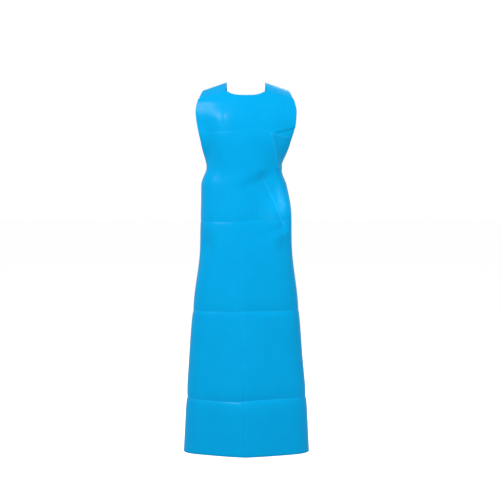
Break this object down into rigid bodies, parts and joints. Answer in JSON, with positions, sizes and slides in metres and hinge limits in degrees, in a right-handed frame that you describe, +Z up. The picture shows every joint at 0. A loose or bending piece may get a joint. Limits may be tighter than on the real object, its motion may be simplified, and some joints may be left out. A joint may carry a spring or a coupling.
{
  "type": "bib apron",
  "caption": "Worn bib apron of waterproof vinyl sheet with wide shoulder straps crossing on the back, elastic ends with hooks, and a buckled waist belt.",
  "frame": {"origin": "midway between the shoulders, level with the neck side of the straps where they rest on them", "axes": "+Z up, -Y the way the apron's front faces, +X to the right as the front is looked at"},
  "size_m": [0.4144, 0.2568, 1.261],
  "materials": {
    "vinyl_sheet": "smooth semi-gloss coated vinyl, bright cyan blue, with packing creases",
    "vinyl_strap": "smooth semi-gloss coated vinyl, bright cyan blue, welded edges",
    "white_elastic": "ribbed woven elastic, white",
    "white_webbing": "plain woven polyester webbing, white",
    "white_plastic": "moulded acetal, fine satin",
    "ring_metal": "nickel plated wire",
    "hook_metal": "pressed stainless steel, satin",
    "rivet_metal": "nickel plated cap rivets",
    "label_film": "blank white film"
  },
  "bodies": {
    "apron": {"apron_body": "vinyl_sheet", "shoulder_strap_left": "vinyl_strap", "ring_tab_left": "vinyl_strap", "corner_patch_left": "vinyl_strap", "elastic_strap_left": "white_elastic", "waist_belt_left": "white_webbing", "tab_rivet_outer_left": "rivet_metal", "belt_rivet_outer_left": "rivet_metal", "tab_rivet_inner_left": "rivet_metal", "belt_rivet_inner_left": "rivet_metal", "strap_rivet_upper_left": "rivet_metal", "strap_rivet_lower_left": "rivet_metal", "shoulder_strap_right": "vinyl_strap", "ring_tab_right": "vinyl_strap", "corner_patch_right": "vinyl_strap", "elastic_strap_right": "white_elastic", "waist_belt_right": "white_webbing", "tab_rivet_outer_right": "rivet_metal", "belt_rivet_outer_right": "rivet_metal", "tab_rivet_inner_right": "rivet_metal", "belt_rivet_inner_right": "rivet_metal", "strap_rivet_upper_right": "rivet_metal", "strap_rivet_lower_right": "rivet_metal", "back_cross_patch": "vinyl_strap", "back_cross_rivet": "rivet_metal", "buckle_socket": "white_plastic", "size_label_blank": "label_film"},
    "belt_keeper": {"belt_keeper": "white_plastic"},
    "buckle_plug": {"buckle_plug": "white_plastic"},
    "d_ring_left": {"d_ring_left": "ring_metal"},
    "d_ring_right": {"d_ring_right": "ring_metal"},
    "hook_left": {"hook_left": "hook_metal"},
    "hook_right": {"hook_right": "hook_metal"},
    "strap_slider_left": {"strap_slider_left": "white_plastic"},
    "strap_slider_right": {"strap_slider_right": "white_plastic"}
  },
  "joints": [
    {"name": "hook_left_swing", "type": "hinge", "parent": "apron", "child": "hook_left", "pos_m": [-0.0602, 0.06549, -0.29371], "axis": [0.6932, 0.4596, -0.5552], "range_deg": [-10, 10], "stiffness_Nm_per_rad": 0.15},
    {"name": "d_ring_left_swing", "type": "hinge", "parent": "apron", "child": "d_ring_left", "pos_m": [-0.08557, 0.05095, -0.33743], "axis": [0.6932, 0.4596, -0.5552], "range_deg": [-14, 14]},
    {"name": "strap_slider_left_slide", "type": "slide", "parent": "apron", "child": "strap_slider_left", "axis": [0.4824, 0.2765, 0.8312], "range_m": [-0.012, 0.012]},
    {"name": "hook_right_swing", "type": "hinge", "parent": "apron", "child": "hook_right", "pos_m": [0.0602, 0.06549, -0.29371], "axis": [0.6932, -0.4596, 0.5552], "range_deg": [-10, 10], "stiffness_Nm_per_rad": 0.15},
    {"name": "d_ring_right_swing", "type": "hinge", "parent": "apron", "child": "d_ring_right", "pos_m": [0.08557, 0.05095, -0.33743], "axis": [0.6932, -0.4596, 0.5552], "range_deg": [-14, 14]},
    {"name": "strap_slider_right_slide", "type": "slide", "parent": "apron", "child": "strap_slider_right", "axis": [-0.4824, 0.2765, 0.8312], "range_m": [-0.012, 0.012]},
    {"name": "buckle_release", "type": "slide", "parent": "apron", "child": "buckle_plug", "axis": [1, 0, 0], "range_m": [0, 0.02], "deforming": ["waist_belt_right"]},
    {"name": "belt_keeper_slide", "type": "slide", "parent": "apron", "child": "belt_keeper", "axis": [-0.8544, -0.5196, 0], "range_m": [-0.007, 0.007]}
  ],
  "couplings": [
    {"joint": "d_ring_left_swing", "follows": "hook_left_swing", "ratio": -1.391},
    {"joint": "d_ring_right_swing", "follows": "hook_right_swing", "ratio": -1.391}
  ]
}
